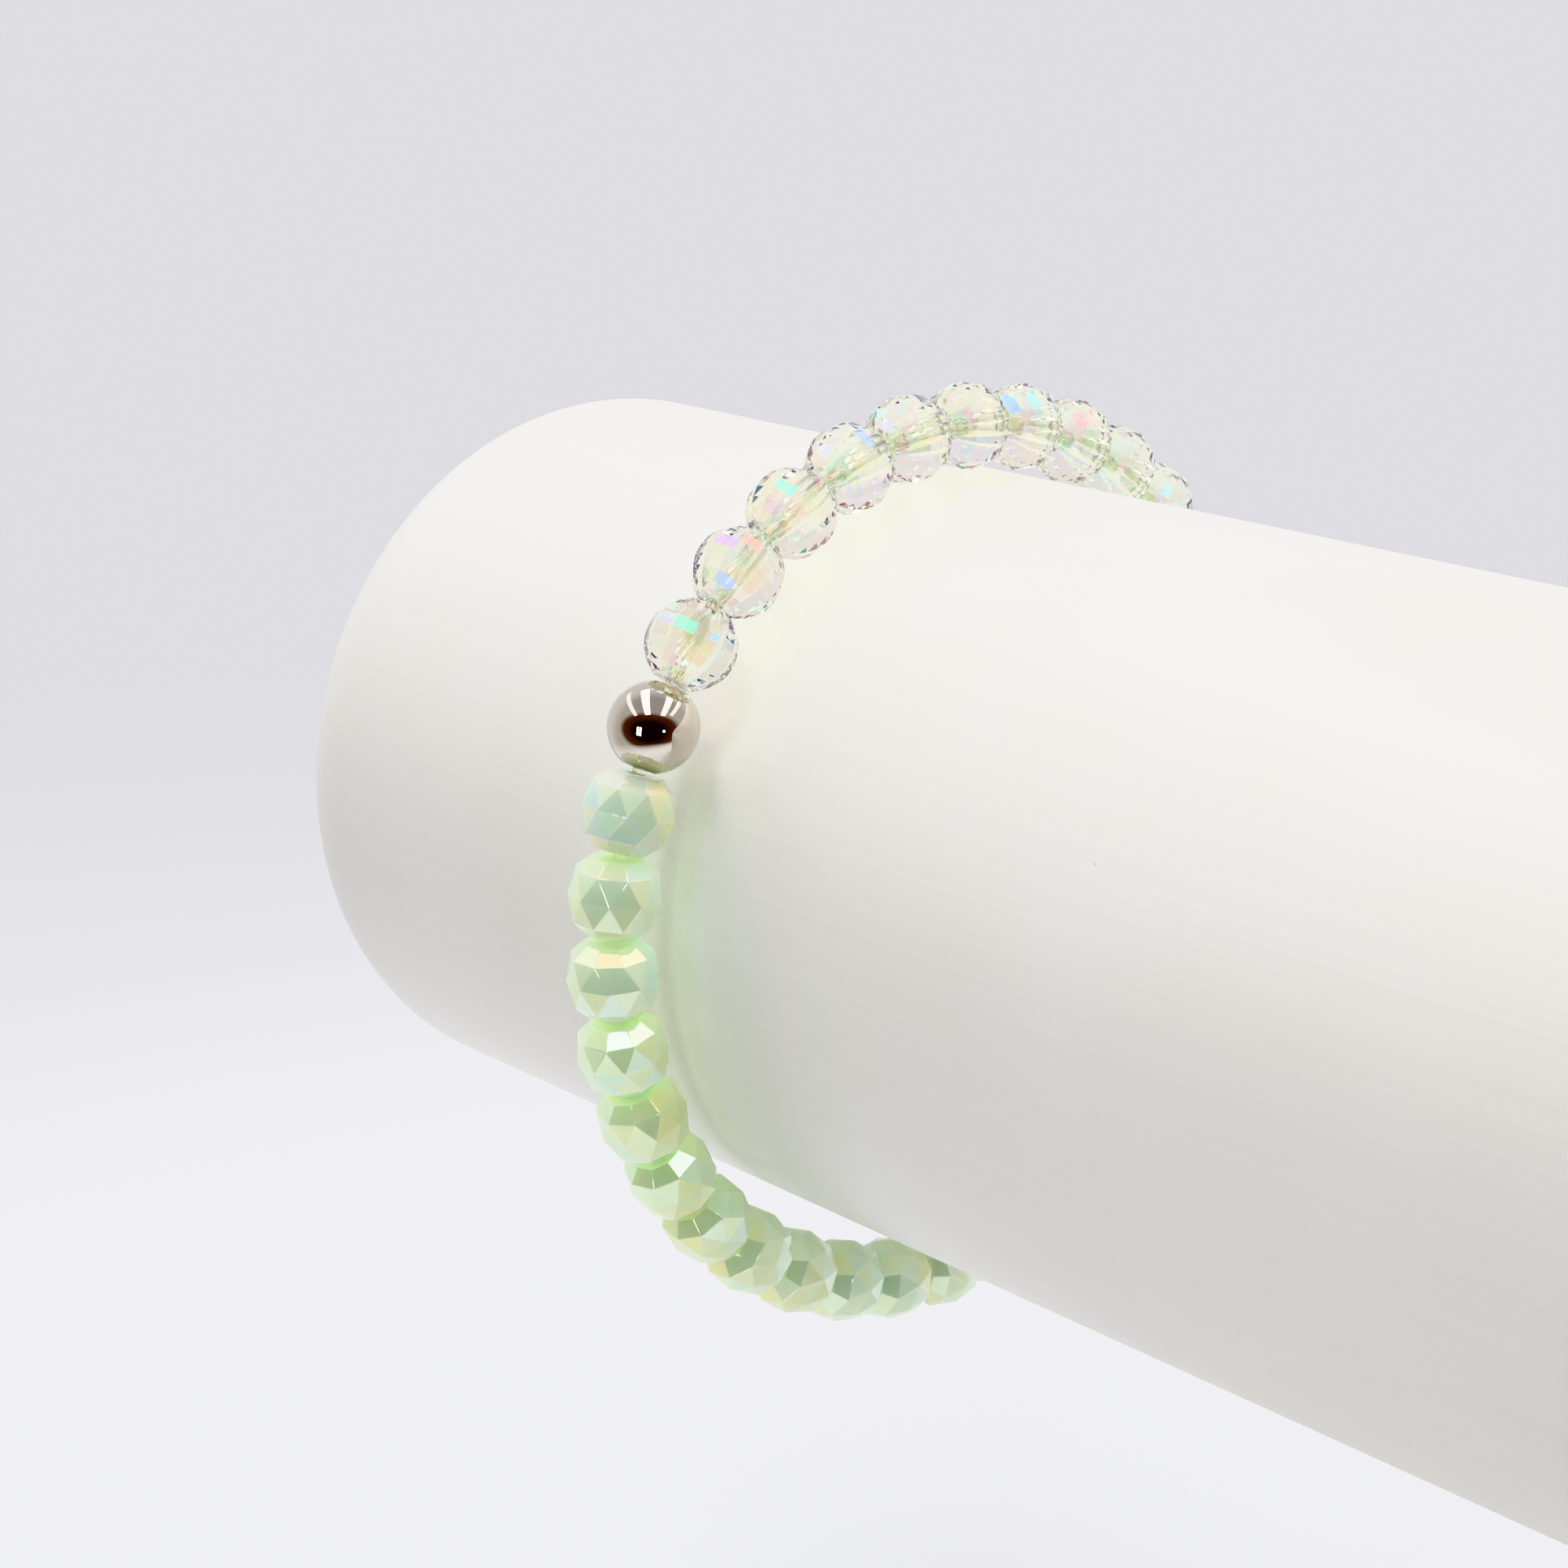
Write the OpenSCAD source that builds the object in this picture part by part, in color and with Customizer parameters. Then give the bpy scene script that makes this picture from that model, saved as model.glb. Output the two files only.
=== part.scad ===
/* [Beads] */
// Number of clear crystal beads
crystal_count = 17; // [17:1:19]
// Number of mint glass beads
mint_count = 18; // [18:1:20]
// Diameter of a clear crystal bead over its corners
crystal_d = 6.1; // [5.6:0.05:6.1]
// Length of a clear crystal bead between its two tables
crystal_len = 5.36; // [4.6:0.02:5.36]
// Length of loop that one clear crystal bead takes up
crystal_pitch = 5.75; // [5.75:0.01:6]
// Diameter of the silver ball
ball_d = 6; // [5.5:0.1:6]
// Length of the silver ball between the rims of its hole
ball_len = 5.6; // [5.2:0.05:5.6]
// Length of loop that the silver ball takes up
ball_pitch = 5.9; // [5.9:0.01:6.2]
// Diameter of a mint bead over its corners
mint_d = 6.12; // [5.6:0.05:6.15]
// Length of a mint bead between its two tables
mint_len = 5.08; // [4.4:0.02:5.08]
// Length of loop that one mint bead takes up
mint_pitch = 5.48; // [5.48:0.01:6]
// Diameter of the hole through every bead
hole_d = 1.2; // [1:0.05:1.4]
// Diameter of the stretch thread
thread_d = 0.8; // [0.5:0.05:0.8]

/* [Cut of the beads] */
// Columns of facets round a clear crystal bead
crystal_columns = 12; // [10:1:14]
// Rows of facets along a clear crystal bead
crystal_rows = 8; // [6:2:10]
// Columns of facets round a mint bead
mint_columns = 9; // [8:1:12]
// Height of a tall triangle on a mint bead, from the girdle to its tip
mint_tip_h = 1.7; // [1.3:0.05:1.9]
// Slant of a tall triangle that stands on the girdle, in degrees
mint_slant = 4; // [2:0.5:6]
// Corner radius of a mint bead's table
mint_table_r = 1.75; // [1.4:0.05:1.8]

/* [Hang of the loop] */
// How much longer than round the hanging loop is, as a share of its radius
loop_oval = 0.033; // [0:0.001:0.04]
// Lean of the loop's long way from upright, in degrees
loop_lean = 55; // [40:1:60]
// Place of the silver ball, in degrees from the top of the loop to the front
ball_at = 60; // [30:1:80]
// Clearance between the bar and the bead that is nearest to it
rest_gap = 0.12; // [0.12:0.02:0.5]

/* [Display bar] */
// Diameter of the bar
bar_d = 54.2; // [48:0.2:54.2]
// Length of the bar
bar_len = 130.7; // [110:0.1:131]
// Radius of the rounded rims of the bar
bar_round = 7.7; // [2:0.1:12]
// Distance from the bar's free end to the loop
loop_from_end = 44.7; // [20:0.1:60]

/* [Stand] */
// Height of the bar's axis above the surface
axis_h = 85; // [75:1:100]
// Distance from the loop to the middle of the foot
loop_from_foot = 50; // [45:1:60]
// Length of the foot
foot_len = 90; // [80:1:110]
// Width of the foot
foot_w = 64; // [50:1:80]
// Thickness of the foot
foot_t = 8; // [6:0.5:12]
// Radius of the foot's corners
foot_corner = 12; // [4:1:20]
// Diameter of the post
post_d = 18; // [14:1:22]
// Distance from the middle of the foot to the post
post_x = 26; // [15:1:28]
// Depth of the socket in the bar
socket_depth = 12; // [6:1:16]
// Clearance round the post in its socket
socket_gap = 0.15; // [0.1:0.01:0.3]

/* [Hidden] */
// Whole length of the loop and the radius of a round loop of that length
loop_len = crystal_count * crystal_pitch + ball_pitch + mint_count * mint_pitch;
loop_r = loop_len / 360 * 180 / PI;
// Where the loop comes nearest to the bar, and the drop of its middle that lets it rest there
rest_at = loop_lean - 90;
rest_r = loop_r * (1 - loop_oval);
rest_reach = bar_d / 2 + crystal_d / 2 + rest_gap;
loop_drop = rest_r * cos(rest_at) - sqrt(pow(rest_reach, 2) - pow(rest_r * sin(rest_at), 2));
// The loop's plane, the bar's free end and its other end
loop_x = -loop_from_foot;
bar_free_x = loop_x - loop_from_end;
// Extra length of a cutting tool past each face that it opens
past = 1;
// Sides of the stretch thread
thread_sides = 8;
// Facets of a full circle
smooth = 96;
// All beads of the loop
bead_count = crystal_count + 1 + mint_count;
crystal_color = [0.93, 0.95, 0.92];
mint_color = [0.72, 0.85, 0.69];
silver_color = [0.75, 0.74, 0.73];
thread_color = [0.94, 0.94, 0.92];
bar_color = [0.94, 0.93, 0.89];

function two_digits(i) = i < 10 ? str("0", i) : str(i);

// Distance of the loop from its own middle, turn counted from the top to the front
function loop_radius(turn) = loop_r * (1 + loop_oval * cos(2 * (turn - loop_lean)));
// Length of thread from the top to a turn, and the turn at a length of thread
function thread_to(turn) = loop_r * (turn * PI / 180
    + loop_oval / 2 * (sin(2 * (turn - loop_lean)) + sin(2 * loop_lean)));
function turn_at(len, turn, tries = 6) = tries == 0 ? turn
    : turn_at(len, turn + (len - thread_to(turn)) / loop_radius(turn) * 180 / PI, tries - 1);
// A point of the loop
function loop_point(turn) = [
    loop_x,
    -loop_radius(turn) * sin(turn),
    axis_h - loop_drop + loop_radius(turn) * cos(turn)
];
// Tilt about X that lays a bead's hole along the loop
function loop_tilt(turn) = let (step = loop_point(turn + 0.5) - loop_point(turn - 0.5))
    atan2(-step[1], step[2]);

// Place of each bead along the thread: the mint beads run on from the ball, the crystals run back from it
ball_len_at = thread_to(ball_at);
function crystal_turn(i) = let (len = ball_len_at - ball_pitch / 2 - (i - 0.5) * crystal_pitch)
    turn_at(len, ball_at - i * 10);
function mint_turn(i) = let (len = ball_len_at + ball_pitch / 2 + (i - 0.5) * mint_pitch)
    turn_at(len, ball_at + i * 10);

// Turn of each bead about the thread. The mint beads that show have theirs set by hand, from the ball on,
// and the rest are spread by steps of the golden angle
golden_angle = 137.5;
mint_shown_turns = [4, 8, 6, 0, 26, 39, 20, 4, 34, 36];
function crystal_spin(i) = (i * golden_angle) % (360 / crystal_columns);
function mint_spin(i) = i <= len(mint_shown_turns) ? mint_shown_turns[i - 1]
    : (i * golden_angle) % (360 / mint_columns);

// A ring of points at one height and radius
function ring(radius, z, sides, start = 0) =
    [for (k = [0 : sides - 1]) let (a = start + k * 360 / sides) [radius * cos(a), radius * sin(a), z]];

// Cut body of a clear crystal bead: rows and columns of flat facets between two tables
crystal_table_angle = acos(crystal_len / crystal_d);
crystal_points = [for (row = [0 : crystal_rows])
    let (a = crystal_table_angle + row * (180 - 2 * crystal_table_angle) / crystal_rows)
    each ring(crystal_d / 2 * sin(a), crystal_d / 2 * cos(a), crystal_columns)];
crystal_faces = concat(
    [[for (k = [crystal_columns - 1 : -1 : 0]) k]],
    [for (row = [0 : crystal_rows - 1], k = [0 : crystal_columns - 1])
        let (n = crystal_columns, next = (k + 1) % n)
        [row * n + k, row * n + next, (row + 1) * n + next, (row + 1) * n + k]],
    [[for (k = [0 : crystal_columns - 1]) crystal_rows * crystal_columns + k]]
);

// Cut body of a mint bead: a sharp girdle, tall triangles standing and hanging on it in turn, slanted
// end facets above them, and the tables
mint_step = 360 / mint_columns;
mint_tip_r = mint_d / 2 * cos(mint_step / 2) - mint_tip_h * tan(mint_slant);
mint_points = concat(
    ring(mint_d / 2, 0, mint_columns),
    ring(mint_tip_r, mint_tip_h, mint_columns, mint_step / 2),
    ring(mint_table_r, mint_len / 2, mint_columns, mint_step / 2),
    ring(mint_tip_r, -mint_tip_h, mint_columns, mint_step / 2),
    ring(mint_table_r, -mint_len / 2, mint_columns, mint_step / 2)
);
function mint_at(ring_no, k) = ring_no * mint_columns + (k + mint_columns) % mint_columns;
function flipped(face) = [for (i = [len(face) - 1 : -1 : 0]) face[i]];
// Facets of one half, from the girdle to its tip ring and its table ring
function mint_half(tip, table) = concat(
    [for (k = [0 : mint_columns - 1]) [mint_at(0, k), mint_at(tip, k), mint_at(0, k + 1)]],
    [for (k = [0 : mint_columns - 1]) [mint_at(0, k), mint_at(tip, k - 1), mint_at(tip, k)]],
    [for (k = [0 : mint_columns - 1])
        [mint_at(tip, k), mint_at(tip, k - 1), mint_at(table, k - 1), mint_at(table, k)]],
    [[for (k = [mint_columns - 1 : -1 : 0]) mint_at(table, k)]]
);
mint_faces = concat(mint_half(1, 2), [for (face = mint_half(3, 4)) flipped(face)]);

// The hole of a bead, through both tables
module hole(length) {
    cylinder(h = length + 2 * past, d = hole_d, center = true, $fn = smooth);
}

// One clear crystal bead, hole along Z
module crystal_bead() {
    difference() {
        polyhedron(crystal_points, crystal_faces);
        hole(crystal_len);
    }
}

// One mint bead, hole along Z
module mint_bead() {
    difference() {
        polyhedron(mint_points, mint_faces);
        hole(mint_len);
    }
}

// Puts a bead on the loop at a turn, and turns it about the thread
module on_loop(turn, spin) {
    translate(loop_point(turn)) rotate([loop_tilt(turn), 0, 0]) rotate([0, 0, spin]) children();
}

module crystal(i) {
    color(crystal_color) on_loop(crystal_turn(i), crystal_spin(i)) crystal_bead();
}

module mint(i) {
    color(mint_color) on_loop(mint_turn(i), mint_spin(i)) mint_bead();
}

module silver_ball() {
    color(silver_color) on_loop(ball_at, 0) difference() {
        intersection() {
            sphere(d = ball_d, $fn = smooth);
            cube([ball_d + past, ball_d + past, ball_len], center = true);
        }
        hole(ball_len);
    }
}

// The thread lies straight in each hole and bends between the beads
thread_stops = concat(
    [for (i = [crystal_count : -1 : 1]) [crystal_turn(i), crystal_len]],
    [[ball_at, ball_len]],
    [for (i = [1 : mint_count]) [mint_turn(i), mint_len]]
);
function thread_ring(turn, along) =
    let (p = loop_point(turn), a = loop_tilt(turn), out = [0, cos(a), sin(a)], up = [0, -sin(a), cos(a)])
    [for (k = [0 : thread_sides - 1]) let (b = (k + 0.5) * 360 / thread_sides)
        p + up * along + thread_d / 2 * (cos(b) * [1, 0, 0] + sin(b) * out)];
thread_points = [for (stop = thread_stops)
    each concat(thread_ring(stop[0], -stop[1] / 2), thread_ring(stop[0], stop[1] / 2))];
thread_rings = 2 * bead_count;
thread_faces = [for (r = [0 : thread_rings - 1], k = [0 : thread_sides - 1])
    let (n = thread_sides, next = (k + 1) % n, r2 = (r + 1) % thread_rings)
    [r * n + k, r2 * n + k, r2 * n + next, r * n + next]];

module elastic_thread() {
    color(thread_color) polyhedron(thread_points, thread_faces);
}

// The bar: a round rod with rounded rims and a socket for the post in its underside
module display_bar() {
    color(bar_color) difference() {
        translate([bar_free_x, 0, axis_h]) rotate([0, 90, 0]) rotate_extrude($fn = smooth) bar_profile();
        translate([post_x, 0, axis_h - bar_d / 2 - past])
            cylinder(h = past + socket_depth, d = post_d + 2 * socket_gap, $fn = smooth);
    }
}

// Half section of the bar: width outwards, length upwards
module bar_profile() {
    r = bar_d / 2;
    square([r - bar_round, bar_len]);
    translate([0, bar_round]) square([r, bar_len - 2 * bar_round]);
    for (h = [bar_round, bar_len - bar_round]) {
        intersection() {
            translate([r - bar_round, h]) circle(r = bar_round, $fn = smooth);
            square([r, bar_len]);
        }
    }
}

// The post and the foot in one piece
module stand() {
    color(bar_color) {
        linear_extrude(foot_t) foot_outline();
        translate([post_x, 0, 0])
            cylinder(h = axis_h - bar_d / 2 + socket_depth - socket_gap, d = post_d, $fn = smooth);
    }
}

module foot_outline() {
    square([foot_len - 2 * foot_corner, foot_w], center = true);
    square([foot_len, foot_w - 2 * foot_corner], center = true);
    for (x = [-1, 1], y = [-1, 1]) {
        translate([x * (foot_len / 2 - foot_corner), y * (foot_w / 2 - foot_corner)])
            circle(r = foot_corner, $fn = smooth);
    }
}

for (i = [1 : crystal_count]) {
    crystal(i);
}
silver_ball();
for (i = [1 : mint_count]) {
    mint(i);
}
elastic_thread();
display_bar();
stand();
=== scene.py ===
import math
import random

import bmesh
import bpy
from mathutils import Matrix, Vector


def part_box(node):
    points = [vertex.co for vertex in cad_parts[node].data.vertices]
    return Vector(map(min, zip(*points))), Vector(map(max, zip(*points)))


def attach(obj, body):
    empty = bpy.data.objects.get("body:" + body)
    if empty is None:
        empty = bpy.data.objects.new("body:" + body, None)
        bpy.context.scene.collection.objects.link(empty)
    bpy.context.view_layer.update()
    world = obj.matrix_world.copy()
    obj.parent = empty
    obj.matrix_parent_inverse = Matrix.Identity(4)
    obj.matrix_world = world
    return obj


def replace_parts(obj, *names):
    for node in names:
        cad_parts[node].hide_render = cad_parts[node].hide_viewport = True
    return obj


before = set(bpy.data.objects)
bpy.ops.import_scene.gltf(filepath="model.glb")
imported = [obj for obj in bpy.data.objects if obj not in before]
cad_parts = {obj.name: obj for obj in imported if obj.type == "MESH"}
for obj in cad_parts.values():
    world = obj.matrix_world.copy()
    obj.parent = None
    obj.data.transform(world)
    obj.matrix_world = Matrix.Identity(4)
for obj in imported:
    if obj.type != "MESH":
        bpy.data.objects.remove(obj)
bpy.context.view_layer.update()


# The stand: a round post on a flat foot, turned and sawn from hardwood, glued up as one piece and
# sprayed with ivory satin lacquer. Its edges are eased so that the lacquer doesn't chip.
MM = 0.001
stand_edge = 0.6 * MM
stand_edge_segments = 3
stand_sharp = math.radians(40)
same_point = 0.001 * MM
same_plane = math.radians(0.4)
ivory = "#E9E7E2"
ivory_worn = "#E5E2DB"
ivory_shine = 0.38


def linear(hex_colour):
    """An sRGB hex colour as linear red, green, blue and alpha."""
    parts = [int(hex_colour[i:i + 2], 16) / 255 for i in (1, 3, 5)]
    return [c / 12.92 if c <= 0.04045 else ((c + 0.055) / 1.055) ** 2.4 for c in parts] + [1.0]


def add_node(tree, kind, settings=None, **sockets):
    """Adds a node. A socket keyword is its name with _ for a space, or input_N, and is a value or a link."""
    made = tree.nodes.new(kind)
    for name, value in (settings or {}).items():
        setattr(made, name, value)
    for name, value in sockets.items():
        key = int(name[6:]) if name.startswith("input_") else name.replace("_", " ")
        if isinstance(value, bpy.types.NodeSocket):
            tree.links.new(value, made.inputs[key])
        else:
            made.inputs[key].default_value = value
    return made


def new_material(name):
    """A material with its node tree and its Principled shader."""
    material = bpy.data.materials.new(name)
    material.use_nodes = True
    return material, material.node_tree, material.node_tree.nodes["Principled BSDF"]


def solid_copy(node_name):
    """The mesh of a CAD node as one shell, its flat faces whole again."""
    shell = bmesh.new()
    shell.from_mesh(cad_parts[node_name].data)
    bmesh.ops.remove_doubles(shell, verts=shell.verts, dist=same_point)
    bmesh.ops.dissolve_limit(shell, angle_limit=same_plane, use_dissolve_boundaries=False,
                             verts=shell.verts, edges=shell.edges)
    return shell


def lathe(section, middle, axis, turns, closed=False):
    """The shell of a section turned round an axis, its points and faces in the same order on each run."""
    shell = bmesh.new()
    rings = []
    for step in range(turns):
        spin = (Matrix.Translation(middle) @ Matrix.Rotation(math.tau * step / turns, 4, axis)
                @ Matrix.Translation(-middle))
        rings.append([shell.verts.new(spin @ point) for point in section])
    for ring, following in zip(rings, rings[1:] + rings[:1]):
        for i in range(len(section) if closed else len(section) - 1):
            j = (i + 1) % len(section)
            shell.faces.new((ring[i], ring[j], following[j], following[i]))
    bmesh.ops.remove_doubles(shell, verts=shell.verts, dist=same_point)
    bmesh.ops.recalc_face_normals(shell, faces=shell.faces)
    return shell


def finish_piece(shell, name, material):
    """Turns a bmesh into a piece of the object that rides on its one body."""
    mesh = bpy.data.meshes.new(name)
    shell.to_mesh(mesh)
    shell.free()
    if mesh.has_custom_normals:
        mesh.attributes.remove(mesh.attributes["custom_normal"])
    piece = bpy.data.objects.new(name, mesh)
    bpy.context.scene.collection.objects.link(piece)
    mesh.materials.append(material)
    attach(piece, "root")
    return piece


# Satin cellulose lacquer on sanded hardwood: the last sanding, along the rod, leaves lines a quarter of
# a millimetre apart under the film, which shines softly and has a few darker pores.
line_spacing = 0.25 * MM
line_length = 40 * MM
line_depth = 0.03 * MM
line_strength = 0.25
line_dark, line_light = 0.98, 1.01
pore_spacing = 11 * MM
pore_size = 0.02
pore_tone = 0.7
cloud_size = 30 * MM
lacquer_ior = 1.48
lacquer, tree, shader = new_material("satin_ivory_lacquer")
place = add_node(tree, "ShaderNodeTexCoord").outputs["Object"]
along = add_node(tree, "ShaderNodeMapping", Vector=place, Scale=(line_spacing / line_length, 1, 1))
lines = add_node(tree, "ShaderNodeTexNoise", Vector=along.outputs["Vector"], Scale=1 / line_spacing,
                 Detail=2.0, Roughness=0.6)
clouds = add_node(tree, "ShaderNodeTexNoise", Vector=place, Scale=1 / cloud_size, Detail=3.0)
tone = add_node(tree, "ShaderNodeMapRange", Value=clouds.outputs["Fac"], From_Min=0.35, From_Max=0.7)
body = add_node(tree, "ShaderNodeMix", {"data_type": "RGBA"}, Factor=tone.outputs["Result"],
                input_6=linear(ivory), input_7=linear(ivory_worn))
pores = add_node(tree, "ShaderNodeTexVoronoi", Vector=place, Scale=1 / pore_spacing)
speck = add_node(tree, "ShaderNodeMapRange", Value=pores.outputs["Distance"], From_Min=pore_size * 0.6,
                 From_Max=pore_size, To_Min=pore_tone, To_Max=1.0)
speckled = add_node(tree, "ShaderNodeMix", {"data_type": "RGBA", "blend_type": "MULTIPLY"}, Factor=1.0,
                    input_6=body.outputs[2], input_7=speck.outputs["Result"])
sanded = add_node(tree, "ShaderNodeMapRange", Value=lines.outputs["Fac"], From_Min=0.3, From_Max=0.7,
                  To_Min=line_dark, To_Max=line_light)
lined = add_node(tree, "ShaderNodeMix", {"data_type": "RGBA", "blend_type": "MULTIPLY"}, Factor=1.0,
                 input_6=speckled.outputs[2], input_7=sanded.outputs["Result"])
shine = add_node(tree, "ShaderNodeMapRange", Value=lines.outputs["Fac"], To_Min=ivory_shine - 0.05,
                 To_Max=ivory_shine + 0.08)
relief = add_node(tree, "ShaderNodeBump", Height=lines.outputs["Fac"], Strength=line_strength,
                  Distance=line_depth)
tree.links.new(lined.outputs[2], shader.inputs["Base Color"])
tree.links.new(shine.outputs["Result"], shader.inputs["Roughness"])
tree.links.new(relief.outputs["Normal"], shader.inputs["Normal"])
shader.inputs["IOR"].default_value = lacquer_ior

stand_shell = solid_copy("stand")
bmesh.ops.bevel(stand_shell, geom=[e for e in stand_shell.edges if e.calc_face_angle() > stand_sharp],
                offset=stand_edge, offset_type="OFFSET", segments=stand_edge_segments, profile=0.5,
                affect="EDGES", clamp_overlap=True, material=-1)
stand = finish_piece(stand_shell, "stand_post_and_foot", lacquer)
for face in stand.data.polygons:
    face.use_smooth = True
stand.data.set_sharp_from_angle(angle=stand_sharp)
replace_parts(stand, "stand")


# The display bar: a round hardwood rod with rounded rims, in the same lacquer. A blind hole in its
# underside sits on the post.
bar_round = 7.7 * MM
bar_turns = 256
rim_steps = 24
socket_depth = 12 * MM
socket_gap = 0.15 * MM
low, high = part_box("display_bar")
bar_middle = (low + high) / 2
bar_radius = (high.y - low.y) / 2
post_x = 26 * MM
post_radius = 9 * MM
socket_segments = 96
outline = [Vector((low.x, 0, bar_middle.z))]
for end in (low.x + bar_round, high.x - bar_round):
    side = -1 if end < bar_middle.x else 1
    for step in range(rim_steps + 1):
        turn = math.radians(90 * step / rim_steps if side < 0 else 90 - 90 * step / rim_steps)
        outline.append(Vector((end + side * bar_round * math.cos(turn), 0,
                               bar_middle.z + bar_radius - bar_round + bar_round * math.sin(turn))))
outline.append(Vector((high.x, 0, bar_middle.z)))
bar = lathe(outline, bar_middle, "X", bar_turns)
bar_piece = finish_piece(bar, "display_bar_lacquered", lacquer)
drill = bmesh.new()
bmesh.ops.create_cone(drill, cap_ends=True, segments=socket_segments, radius1=post_radius + socket_gap,
                      radius2=post_radius + socket_gap, depth=2 * socket_depth,
                      matrix=Matrix.Translation((post_x, 0, bar_middle.z - bar_radius)))
drill_mesh = bpy.data.meshes.new("drill")
drill.to_mesh(drill_mesh)
drill.free()
drill_object = bpy.data.objects.new("drill", drill_mesh)
bpy.context.scene.collection.objects.link(drill_object)
cut = bar_piece.modifiers.new("socket", "BOOLEAN")
cut.object = drill_object
cut.solver = "EXACT"
drilled = bpy.data.meshes.new_from_object(
    bar_piece.evaluated_get(bpy.context.evaluated_depsgraph_get()))
bar_piece.modifiers.clear()
bar_piece.data = drilled
bpy.data.objects.remove(drill_object)
for face in drilled.polygons:
    face.use_smooth = True
drilled.set_sharp_from_angle(angle=stand_sharp)
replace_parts(bar_piece, "display_bar")


# The stretch thread: clear polyurethane cord, 0.8 mm thick, that runs through every bead. It is
# extruded, so it is smooth and glassy with a faint haze.
haze_size = 1.5 * MM
haze_least, haze_most = 0.04, 0.16
cord_clear = "#F7F6F0"
cord_ior = 1.49
flat_enough = math.radians(10)
square_enough = math.radians(40)
thread, tree, shader = new_material("clear_polyurethane_cord")
place = add_node(tree, "ShaderNodeTexCoord").outputs["Object"]
haze = add_node(tree, "ShaderNodeTexNoise", Vector=place, Scale=1 / haze_size, Detail=2.0)
haze_range = add_node(tree, "ShaderNodeMapRange", Value=haze.outputs["Fac"], To_Min=haze_least,
                      To_Max=haze_most)
tree.links.new(haze_range.outputs["Result"], shader.inputs["Roughness"])
shader.inputs["Base Color"].default_value = linear(cord_clear)
shader.inputs["Transmission Weight"].default_value = 1.0
shader.inputs["IOR"].default_value = cord_ior
thread_shell = bmesh.new()
thread_shell.from_mesh(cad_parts["elastic_thread"].data)
bmesh.ops.remove_doubles(thread_shell, verts=thread_shell.verts, dist=same_point)
bmesh.ops.join_triangles(thread_shell, faces=thread_shell.faces, angle_face_threshold=flat_enough,
                         angle_shape_threshold=square_enough)
thread_piece = finish_piece(thread_shell, "stretch_thread", thread)
for face in thread_piece.data.polygons:
    face.use_smooth = True
round_off = thread_piece.modifiers.new("round", "SUBSURF")
round_off.levels = round_off.render_levels = 2
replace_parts(thread_piece, "elastic_thread")


# The clear beads: machine-cut crystal glass with a rainbow coating, a metal oxide film some 300
# nanometres thick that is vapoured on and shines pink, green and blue. Its thickness differs from facet
# to facet, the facet edges are crisp, and the drilled hole is bare. A mesh attribute holds the coating.
crystal_edge = 0.02 * MM
rim_reach = 2.9 * MM
crystal_count = 17
vapour_share = 0.22
crystal_variety = 0.4
crystal_coating = 0.32
uncoated = -9
crystal_clear = "#F9FCEF"
crystal_ior = 1.54
crystal_film_ior = 2.0
crystal_film_thin, crystal_film_thick = 276.0, 360.0
crystal_lamp_share = (0.87, 0.88, 0.84)
edge_steps = 2
luck = random.Random(5)
crystal, tree, shader = new_material("rainbow_coated_crystal_glass")
coated = add_node(tree, "ShaderNodeAttribute", {"attribute_name": "coat"})
film = add_node(tree, "ShaderNodeMapRange", {"clamp": False}, Value=coated.outputs["Fac"],
                To_Min=crystal_film_thin, To_Max=crystal_film_thick)
film_or_none = add_node(tree, "ShaderNodeMath", {"operation": "MAXIMUM"}, input_0=film.outputs["Result"],
                        input_1=0.0)
tree.links.new(film_or_none.outputs["Value"], shader.inputs["Thin Film Thickness"])
shader.inputs["Thin Film IOR"].default_value = crystal_film_ior
shader.inputs["Base Color"].default_value = linear(crystal_clear)
shader.inputs["Roughness"].default_value = 0.0
shader.inputs["Transmission Weight"].default_value = 1.0
shader.inputs["IOR"].default_value = crystal_ior


def let_lamps_through(tree, shader, share):
    """Lets this share of the lamps' light through each side of the glass, so that its shadow is pale."""
    clear = add_node(tree, "ShaderNodeBsdfTransparent", Color=(*share, 1.0))
    from_lamp = add_node(tree, "ShaderNodeLightPath").outputs["Is Shadow Ray"]
    both = add_node(tree, "ShaderNodeMixShader", input_0=from_lamp, input_1=shader.outputs["BSDF"],
                    input_2=clear.outputs["BSDF"])
    tree.links.new(both.outputs["Shader"], tree.nodes["Material Output"].inputs["Surface"])


let_lamps_through(tree, shader, crystal_lamp_share)


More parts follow.
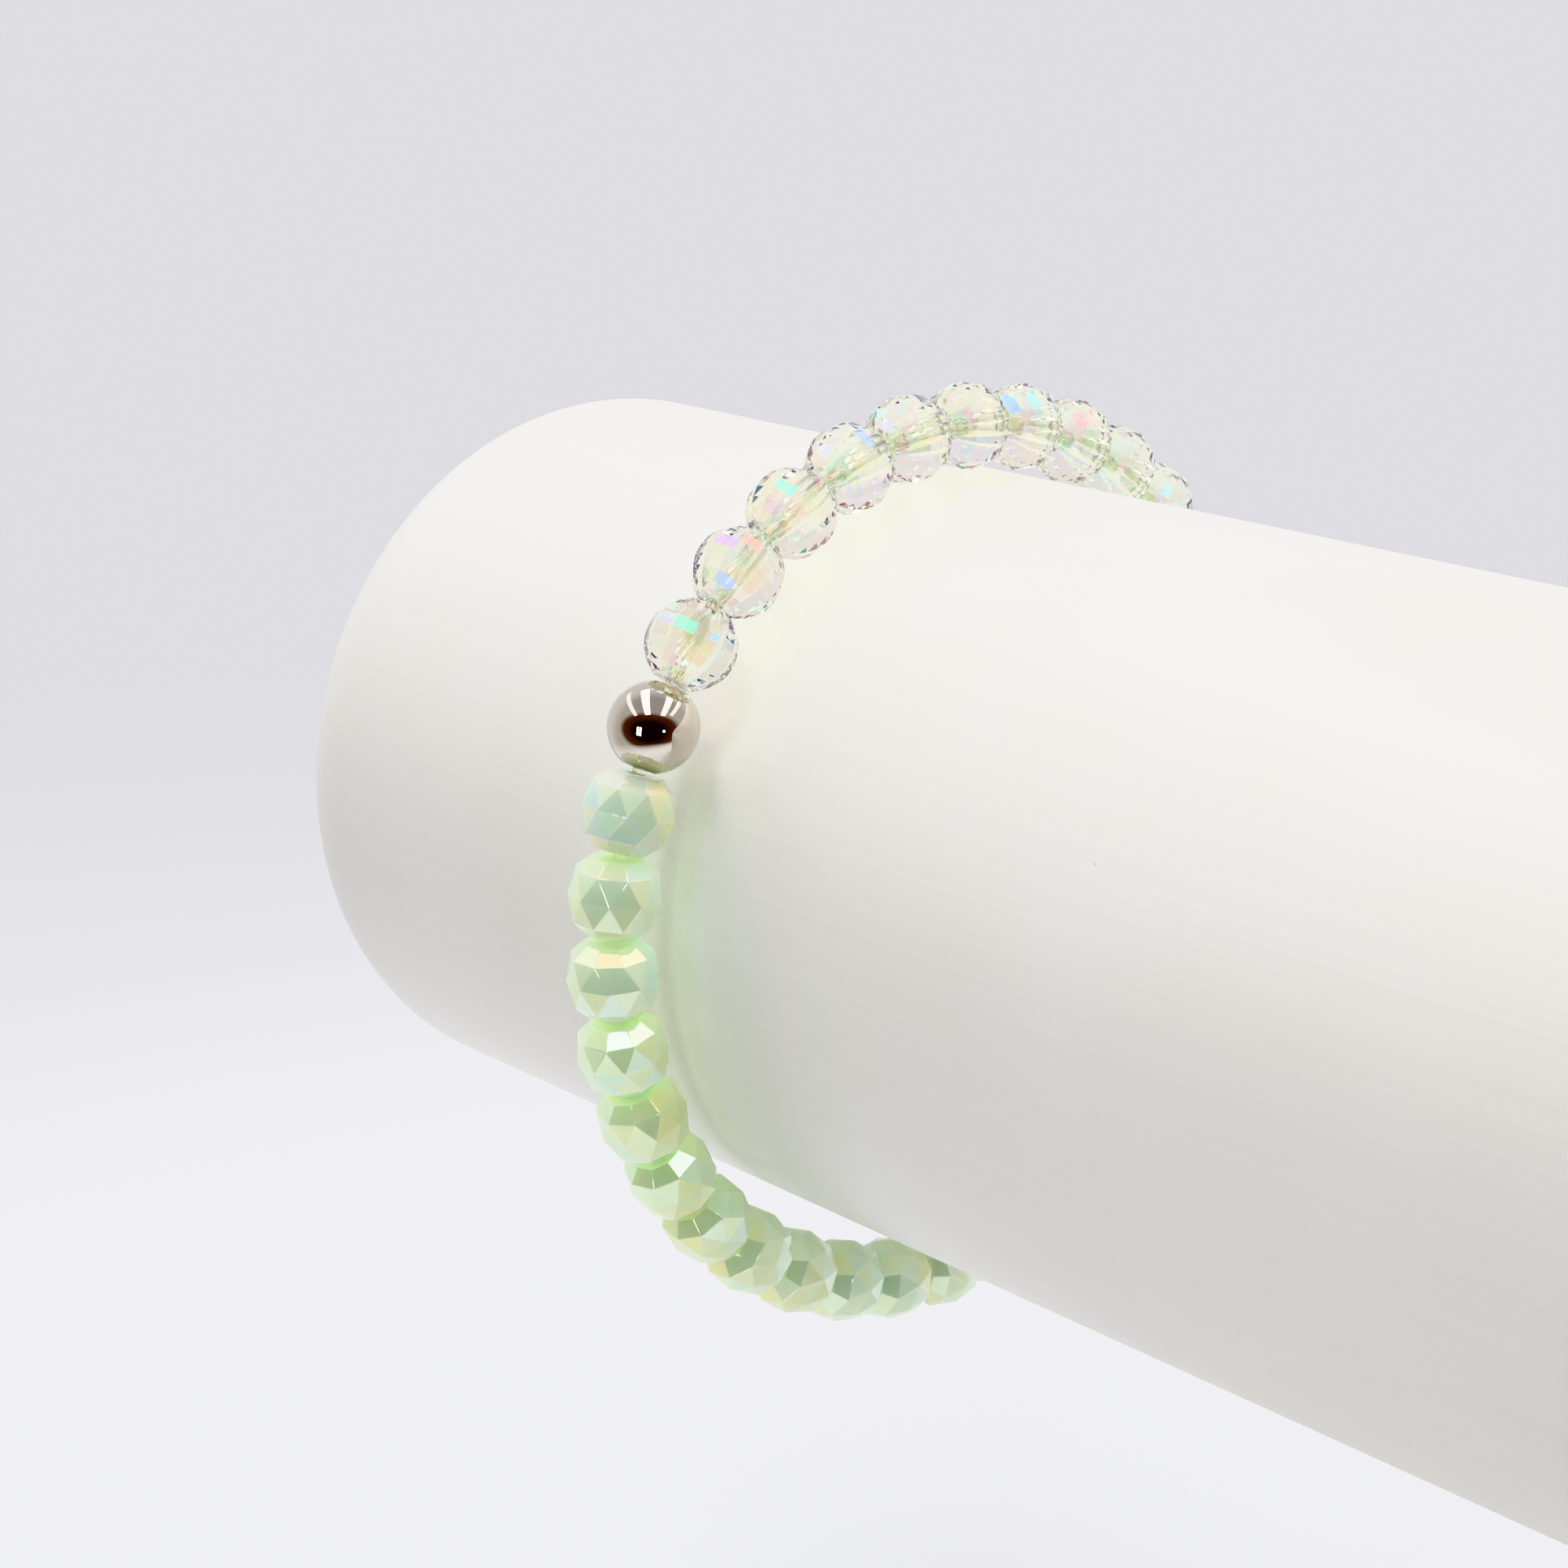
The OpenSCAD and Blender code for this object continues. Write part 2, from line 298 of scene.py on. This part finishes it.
def cut_bead(node_name, name, material, coating, variety, edge, tint=0.0):
    """A bead from its CAD node: every facet edge gets a hairline bevel, and the drilled hole is smooth."""
    shell = solid_copy(node_name)
    coat = shell.faces.layers.float.new("coat")
    dye = shell.faces.layers.float.new("dye")
    vapour = Vector((luck.gauss(0, 1), luck.gauss(0, 1), luck.gauss(0, 1))).normalized()
    for face in shell.faces:
        face.smooth = False
        face[dye] = tint
        face[coat] = coating + vapour_share * face.normal.dot(vapour) + variety * luck.uniform(-1, 1)
    low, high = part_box(node_name)
    middle = (low + high) / 2
    rims = {v.index for v in shell.verts if (v.co - middle).length < rim_reach}
    bore = [f for f in shell.faces if all(v.index in rims for v in f.verts)]
    for face in bore:
        face.smooth = True
        face[coat] = uncoated
    facet_edges = [e for e in shell.edges
                   if e.calc_face_angle() > same_plane and not any(v.index in rims for v in e.verts)]
    eased = bmesh.ops.bevel(shell, geom=facet_edges, offset=edge, offset_type="OFFSET",
                            segments=edge_steps, profile=0.5, affect="EDGES", clamp_overlap=True, material=-1)
    for face in eased["faces"]:
        face.smooth = True
    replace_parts(finish_piece(shell, name, material), node_name)


for i in range(1, crystal_count + 1):
    cut_bead(f"crystal_{i:02d}", f"crystal_bead_{i:02d}", crystal, crystal_coating,
             crystal_variety, crystal_edge)


# The silver ball: a hollow-drilled ball bead in sterling silver, tumbled to a mirror, with a rolled
# rim round each end of its hole.
ball_radius = 3.0 * MM
ball_hole = 0.6 * MM
ball_half = 2.8 * MM
ball_rim = 0.08 * MM
ball_rim_steps = 4
ball_turns = 160
arc_steps = 60
hole_sharp = math.radians(35)
wipe_size = 0.8 * MM
wipe_least, wipe_most = 0.01, 0.06
silver_tone = "#D4CCC1"
silver, tree, shader = new_material("mirror_polished_silver")
place = add_node(tree, "ShaderNodeTexCoord").outputs["Object"]
wipe = add_node(tree, "ShaderNodeTexNoise", Vector=place, Scale=1 / wipe_size, Detail=4.0)
wipe_range = add_node(tree, "ShaderNodeMapRange", Value=wipe.outputs["Fac"], To_Min=wipe_least,
                      To_Max=wipe_most)
tree.links.new(wipe_range.outputs["Result"], shader.inputs["Roughness"])
shader.inputs["Base Color"].default_value = linear(silver_tone)
shader.inputs["Metallic"].default_value = 1.0


def bead_middle(node_name):
    """The middle of a bead."""
    low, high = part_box(node_name)
    return (low + high) / 2


ball_middle = bead_middle("silver_ball")
ball_axis = bead_middle("mint_01") - bead_middle("crystal_01")
face_turn = math.acos(ball_half / ball_radius)
arc = [(ball_radius * math.sin(a), ball_radius * math.cos(a)) for a in
       [face_turn + (math.pi - 2 * face_turn) * s / arc_steps for s in range(arc_steps + 1)]]
section = [(ball_hole, ball_half)] + arc + [(ball_hole, -ball_half)]
ball = lathe([Vector((r, 0, h)) for r, h in section], Vector(), "Z", ball_turns, closed=True)
hole_edges = [e for e in ball.edges if e.calc_face_angle() > hole_sharp]
bmesh.ops.bevel(ball, geom=hole_edges, offset=ball_rim, offset_type="OFFSET", segments=ball_rim_steps,
                profile=0.5, affect="EDGES", clamp_overlap=True, material=-1)
upright = ball_axis.to_track_quat("Z", "X").to_matrix().to_4x4()
bmesh.ops.transform(ball, matrix=Matrix.Translation(ball_middle) @ upright, verts=ball.verts)
ball_piece = finish_piece(ball, "silver_ball_polished", silver)
for face in ball_piece.data.polygons:
    face.use_smooth = True
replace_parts(ball_piece, "silver_ball")


# The mint beads: milky opal glass, cut in fewer and larger facets, with a thinner coating that shines
# silver and gold, and blue on the first bead. Light soaks some millimetres into the glass before it comes
# out again. The top three are bluer, the next four the yellowest.
mint_count = 18
mint_edge = 0.05 * MM
mint_variety = 0.2
mint_coating, first_coating = 0.25, 0.78
mint_film_ior = 2.25
mint_film_thin, mint_film_thick = 45.0, 140.0
mint_blue, mint_leaf, mint_milk = "#CDEBD2", "#CBE8B8", "#D6EEC2"
milk_size = 4 * MM
mint_shine = 0.03
mint_ior = 1.52
soak = 5 * MM
soak_colours = (1.0, 1.25, 0.8)
mint_lamp_share = (0.85, 0.92, 0.76)
blue_until, leaf_until = 3, 7
leaf_below = 0.3
mint, tree, shader = new_material("rainbow_coated_opal_glass")
place = add_node(tree, "ShaderNodeTexCoord").outputs["Object"]
coated = add_node(tree, "ShaderNodeAttribute", {"attribute_name": "coat"})
film = add_node(tree, "ShaderNodeMapRange", {"clamp": False}, Value=coated.outputs["Fac"],
                To_Min=mint_film_thin, To_Max=mint_film_thick)
film_or_none = add_node(tree, "ShaderNodeMath", {"operation": "MAXIMUM"}, input_0=film.outputs["Result"],
                        input_1=0.0)
milk = add_node(tree, "ShaderNodeTexNoise", Vector=place, Scale=1 / milk_size, Detail=2.0)
milk_range = add_node(tree, "ShaderNodeMapRange", Value=milk.outputs["Fac"], From_Min=0.3, From_Max=0.7)
dyed = add_node(tree, "ShaderNodeAttribute", {"attribute_name": "dye"})
tinted = add_node(tree, "ShaderNodeMix", {"data_type": "RGBA"}, Factor=dyed.outputs["Fac"],
                  input_6=linear(mint_blue), input_7=linear(mint_leaf))
body = add_node(tree, "ShaderNodeMix", {"data_type": "RGBA"}, Factor=milk_range.outputs["Result"],
                input_6=tinted.outputs[2], input_7=linear(mint_milk))
tree.links.new(body.outputs[2], shader.inputs["Base Color"])
tree.links.new(film_or_none.outputs["Value"], shader.inputs["Thin Film Thickness"])
shader.inputs["Thin Film IOR"].default_value = mint_film_ior
shader.inputs["Roughness"].default_value = mint_shine
shader.inputs["IOR"].default_value = mint_ior
shader.inputs["Subsurface Weight"].default_value = 1.0
shader.inputs["Subsurface Radius"].default_value = soak_colours
shader.inputs["Subsurface Scale"].default_value = soak
let_lamps_through(tree, shader, mint_lamp_share)
for i in range(1, mint_count + 1):
    leaf_share = 0.0 if i <= blue_until else 1.0 if i <= leaf_until else leaf_below
    cut_bead(f"mint_{i:02d}", f"mint_bead_{i:02d}", mint,
             first_coating if i == 1 else mint_coating, mint_variety, mint_edge, leaf_share)


# The table top: a round of white matt paper under the stand that runs out into the pale sweep.
table_radius = 0.26
table_solid = 0.11
table_middle = Vector((-20, 20, 0)) * MM
table_sides = 96
paper_white = "#F3F4F7"
paper_shine = 0.9
paper_specular = 0.1
tooth_size = 0.6 * MM
tooth_depth = 0.05 * MM
tooth_strength = 0.05
paper, tree, shader = new_material("white_matt_paper")
place = add_node(tree, "ShaderNodeTexCoord").outputs["Object"]
reach = add_node(tree, "ShaderNodeVectorMath", {"operation": "DISTANCE"}, input_0=place,
                 input_1=table_middle)
fade = add_node(tree, "ShaderNodeMapRange", {"interpolation_type": "SMOOTHSTEP"},
                Value=reach.outputs["Value"], From_Min=table_solid, From_Max=table_radius, To_Min=1.0,
                To_Max=0.0)
tooth = add_node(tree, "ShaderNodeTexNoise", Vector=place, Scale=1 / tooth_size, Detail=2.0)
relief = add_node(tree, "ShaderNodeBump", Height=tooth.outputs["Fac"], Strength=tooth_strength,
                  Distance=tooth_depth)
tree.links.new(fade.outputs["Result"], shader.inputs["Alpha"])
tree.links.new(relief.outputs["Normal"], shader.inputs["Normal"])
shader.inputs["Base Color"].default_value = linear(paper_white)
shader.inputs["Roughness"].default_value = paper_shine
shader.inputs["Specular IOR Level"].default_value = paper_specular
sheet = bmesh.new()
bmesh.ops.create_circle(sheet, cap_ends=True, segments=table_sides, radius=table_radius,
                        matrix=Matrix.Translation(table_middle))
sheet_mesh = bpy.data.meshes.new("table_paper")
sheet.to_mesh(sheet_mesh)
sheet.free()
table = bpy.data.objects.new("table_paper", sheet_mesh)
bpy.context.scene.collection.objects.link(table)
sheet_mesh.materials.append(paper)


# The camera stands in front of the bar's free end, a little above it, at the photograph's angle.
camera_place = Vector((84.7, -150.07, 157.64)) * MM
camera_azimuth = math.radians(45.38)
camera_elevation = math.radians(18.59)
camera_lens = 68.54
camera_sensor = 36.0
camera_nearest, camera_farthest = 0.01, 20.0
camera_data = bpy.data.cameras.new("camera")
camera_data.lens = camera_lens
camera_data.sensor_width = camera_sensor
camera_data.clip_start = camera_nearest
camera_data.clip_end = camera_farthest
camera = bpy.data.objects.new("camera", camera_data)
bpy.context.scene.collection.objects.link(camera)
camera.location = camera_place
camera.rotation_euler = (math.pi / 2 - camera_elevation, 0, camera_azimuth)
bpy.context.scene.camera = camera


# Four long soft lamps in the roof of the light tent run away from the camera over the bracelet. Their
# place aside, nearer end, farther end and width are shares of the roof's height over the ball.
front = Vector((math.sin(camera_azimuth), -math.cos(camera_azimuth), 0))
right = Vector((math.cos(camera_azimuth), math.sin(camera_azimuth), 0))
roof = 350 * MM
lamp_width = 0.28
lamp_white = "#FDFDFF"
roof_lamps = ((-1.06, 0.8, -1.35, 1.8), (-0.27, 0.9, -0.67, 7.6), (0.6, 0.92, -0.55, 5.2),
              (1.18, 0.72, -0.64, 2.4))
for number, (aside, to_front, to_back, glow) in enumerate(roof_lamps, 1):
    lamp = bpy.data.lights.new(f"roof_lamp_{number}", "AREA")
    lamp.shape = "RECTANGLE"
    lamp.size = lamp_width * roof
    lamp.size_y = (to_front - to_back) * roof
    lamp.energy = glow * math.pi * lamp.size * lamp.size_y
    lamp.color = linear(lamp_white)[:3]
    holder = bpy.data.objects.new(lamp.name, lamp)
    bpy.context.scene.collection.objects.link(holder)
    holder.location = ball_middle + Vector((0, 0, roof)) + right * aside * roof \
        + front * (to_front + to_back) / 2 * roof
    holder.rotation_euler = (0, 0, camera_azimuth)
    holder.visible_camera = False


# Two windows in the dark room in front, the left one with a bar down its middle, give the beads their
# sparkles. The rows hold turn and climb in degrees, width, height and glow.
window_reach = 0.6
window_white = "#EEFBFF"
windows = (("left_window_1", -37.0, 4.6, 0.035, 0.2, 20.0), ("left_window_2", -30.0, 4.6, 0.035, 0.2, 20.0),
           ("right_window", 27.8, 5.3, 0.045, 0.045, 24.0))
for name, turn, climb, wide, tall, glow in windows:
    aim = camera_azimuth + math.radians(turn)
    rise = math.radians(climb)
    way = Vector((math.sin(aim) * math.cos(rise), -math.cos(aim) * math.cos(rise), math.sin(rise)))
    window = bpy.data.lights.new(name, "AREA")
    window.shape = "RECTANGLE"
    window.size = wide
    window.size_y = tall
    window.energy = glow * math.pi * wide * tall
    window.color = linear(window_white)[:3]
    holder = bpy.data.objects.new(name, window)
    bpy.context.scene.collection.objects.link(holder)
    holder.location = ball_middle + way * window_reach
    holder.rotation_euler = way.to_track_quat("Z", "Y").to_euler()
    holder.visible_camera = False


# The tent: beige walls, a lilac grey roof, and an open front that faces a dark room. The camera itself
# sees the pale sweep that runs up behind the table.
opening_middle = (math.radians(-9), math.radians(6), 0)
opening_half = (math.radians(75), math.radians(44), 1)
opening_edge = (0.86, 1.12)
room_edge = (0.5, 0.95)
room_black, room_brown = "#170A08", "#5C2E1E"
wall_beige, roof_grey, back_white = "#D3D0C9", "#BAB7BA", "#F3F3F7"
roof_from, roof_to = math.radians(30), math.radians(55)
sweep_low, sweep_high = "#F2F2F6", "#D5D4D9"
sweep_from, sweep_to = math.radians(-29), math.radians(-16)
sweep_glow = 1.17
bounces = 24
mirror_bounces = 8
world = bpy.data.worlds.new("light_tent")
bpy.context.scene.world = world
world.use_nodes = True
tree = world.node_tree
tree.nodes.clear()
way = add_node(tree, "ShaderNodeTexCoord").outputs["Generated"]
turned = add_node(tree, "ShaderNodeVectorRotate", {"rotation_type": "Z_AXIS"}, Vector=way,
                  Angle=-camera_azimuth)
axes = add_node(tree, "ShaderNodeSeparateXYZ", Vector=turned.outputs["Vector"])
back_way = add_node(tree, "ShaderNodeMath", {"operation": "MULTIPLY"}, input_0=axes.outputs["Y"],
                    input_1=-1.0)
azimuth = add_node(tree, "ShaderNodeMath", {"operation": "ARCTAN2"}, input_0=axes.outputs["X"],
                   input_1=back_way.outputs["Value"])
height = add_node(tree, "ShaderNodeMath", {"operation": "ARCSINE"}, input_0=axes.outputs["Z"])
spot = add_node(tree, "ShaderNodeCombineXYZ", X=azimuth.outputs["Value"], Y=height.outputs["Value"])
offset = add_node(tree, "ShaderNodeVectorMath", {"operation": "SUBTRACT"}, input_0=spot.outputs["Vector"],
                  input_1=opening_middle)
share = add_node(tree, "ShaderNodeVectorMath", {"operation": "DIVIDE"}, input_0=offset.outputs["Vector"],
                 input_1=opening_half)
reach = add_node(tree, "ShaderNodeVectorMath", {"operation": "LENGTH"}, input_0=share.outputs["Vector"])
opening = add_node(tree, "ShaderNodeMapRange", {"interpolation_type": "SMOOTHSTEP"},
                   Value=reach.outputs["Value"], From_Min=opening_edge[0], From_Max=opening_edge[1],
                   To_Min=1.0, To_Max=0.0)
roof_share = add_node(tree, "ShaderNodeMapRange", {"interpolation_type": "SMOOTHSTEP"},
                      Value=height.outputs["Value"], From_Min=roof_from, From_Max=roof_to)
cloth = add_node(tree, "ShaderNodeMix", {"data_type": "RGBA"}, Factor=roof_share.outputs["Result"],
                 input_6=linear(wall_beige), input_7=linear(roof_grey))
depth = add_node(tree, "ShaderNodeMapRange", {"interpolation_type": "SMOOTHSTEP"},
                 Value=reach.outputs["Value"], From_Min=room_edge[0], From_Max=room_edge[1])
room = add_node(tree, "ShaderNodeMix", {"data_type": "RGBA"}, Factor=depth.outputs["Result"],
                input_6=linear(room_black), input_7=linear(room_brown))
tent = add_node(tree, "ShaderNodeMix", {"data_type": "RGBA"}, Factor=opening.outputs["Result"],
                input_6=cloth.outputs[2], input_7=room.outputs[2])
sweep_share = add_node(tree, "ShaderNodeMapRange", {"interpolation_type": "SMOOTHSTEP"},
                       Value=height.outputs["Value"], From_Min=sweep_from, From_Max=sweep_to)
sweep = add_node(tree, "ShaderNodeMix", {"data_type": "RGBA"}, Factor=sweep_share.outputs["Result"],
                 input_6=linear(sweep_low), input_7=linear(sweep_high))
behind = add_node(tree, "ShaderNodeMapRange", {"interpolation_type": "SMOOTHSTEP"},
                  Value=axes.outputs["Y"], From_Min=0.0, From_Max=0.6)
around = add_node(tree, "ShaderNodeMix", {"data_type": "RGBA"}, Factor=behind.outputs["Result"],
                  input_6=tent.outputs[2], input_7=linear(back_white))
tent_light = add_node(tree, "ShaderNodeBackground", Color=around.outputs[2], Strength=1.0)
sweep_light = add_node(tree, "ShaderNodeBackground", Color=sweep.outputs[2], Strength=sweep_glow)
seen = add_node(tree, "ShaderNodeLightPath").outputs["Is Camera Ray"]
both = add_node(tree, "ShaderNodeMixShader", input_0=seen, input_1=tent_light.outputs["Background"],
                input_2=sweep_light.outputs["Background"])
add_node(tree, "ShaderNodeOutputWorld", Surface=both.outputs["Shader"])
bpy.context.scene.view_settings.view_transform = "Khronos PBR Neutral"
bpy.context.scene.cycles.max_bounces = bounces
bpy.context.scene.cycles.transmission_bounces = bounces
bpy.context.scene.cycles.glossy_bounces = mirror_bounces
